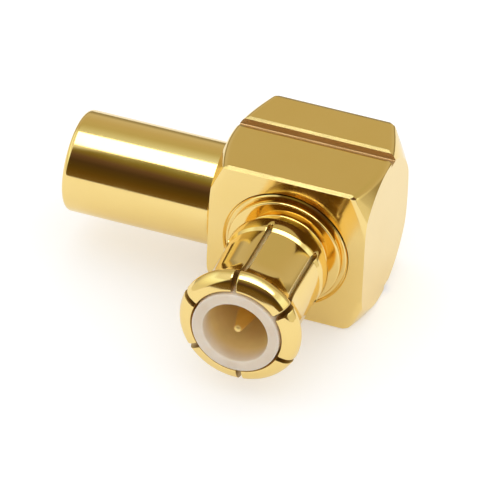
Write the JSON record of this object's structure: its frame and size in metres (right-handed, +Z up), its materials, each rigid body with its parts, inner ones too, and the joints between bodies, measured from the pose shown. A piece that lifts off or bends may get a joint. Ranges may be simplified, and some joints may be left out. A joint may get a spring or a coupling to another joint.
{
  "type": "right-angle mcx connector",
  "caption": "Right-angle coaxial plug: slotted snap-in contact on a short square-flatted bar body, with a crimp ferrule on its cable stem.",
  "frame": {"origin": "on the bottom flat that the connector rests on, straight under the crossing of its mating and cable axes", "axes": "+Z up from the rest flat; the mating axis leaves along -Y and the cable axis along -X, both 2.3 mm above the origin"},
  "size_m": [0.0091, 0.008, 0.0046],
  "materials": {
    "gold_plated_body": "polished gold plating",
    "gold_plated_spring": "polished gold plating",
    "gold_plated_ferrule": "bright gold plating",
    "white_ptfe": "waxy translucent white"
  },
  "bodies": {
    "connector": {"housing": "gold_plated_body", "outer_contact": "gold_plated_spring", "insulator": "white_ptfe", "centre_contact": "gold_plated_spring", "rear_cap": "gold_plated_body"},
    "ferrule": {"crimp_ferrule": "gold_plated_ferrule"}
  },
  "joints": [
    {"name": "ferrule_slide", "type": "slide", "parent": "connector", "child": "ferrule", "axis": [-1, 0, 0], "range_m": [0, 0.0042]}
  ]
}
